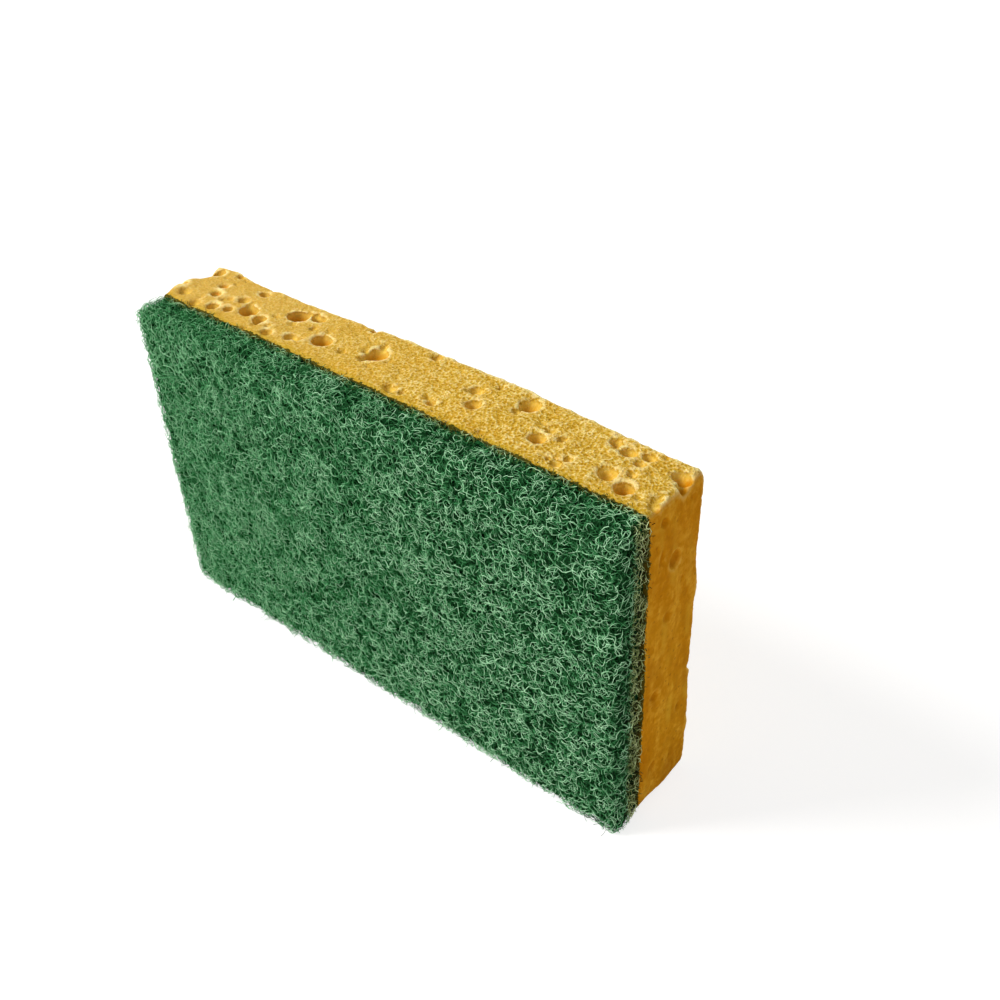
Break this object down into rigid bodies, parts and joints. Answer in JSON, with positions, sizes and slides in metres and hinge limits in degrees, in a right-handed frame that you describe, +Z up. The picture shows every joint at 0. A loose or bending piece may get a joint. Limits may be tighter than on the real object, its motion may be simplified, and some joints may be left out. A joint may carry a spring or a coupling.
{
  "type": "cleaning sponge",
  "caption": "Oblong cleaning sponge: a porous yellow cellulose block with a green nonwoven scouring pad bonded over its front face, standing on its long edge.",
  "frame": {"origin": "centre of the base, the long narrow edge that the sponge stands on", "axes": "+X along the length, +Y through the thickness from the scouring pad's worked face to the block's broad face, +Z up across the width"},
  "size_m": [0.109, 0.022, 0.065],
  "materials": {
    "cellulose": "dry open-celled cellulose, matt, golden yellow",
    "scouring_web": "bonded curly fibres, matt with a slight sheen, mid green"
  },
  "bodies": {
    "root": {"cellulose_block": "cellulose", "scouring_pad": "scouring_web"}
  },
  "joints": []
}
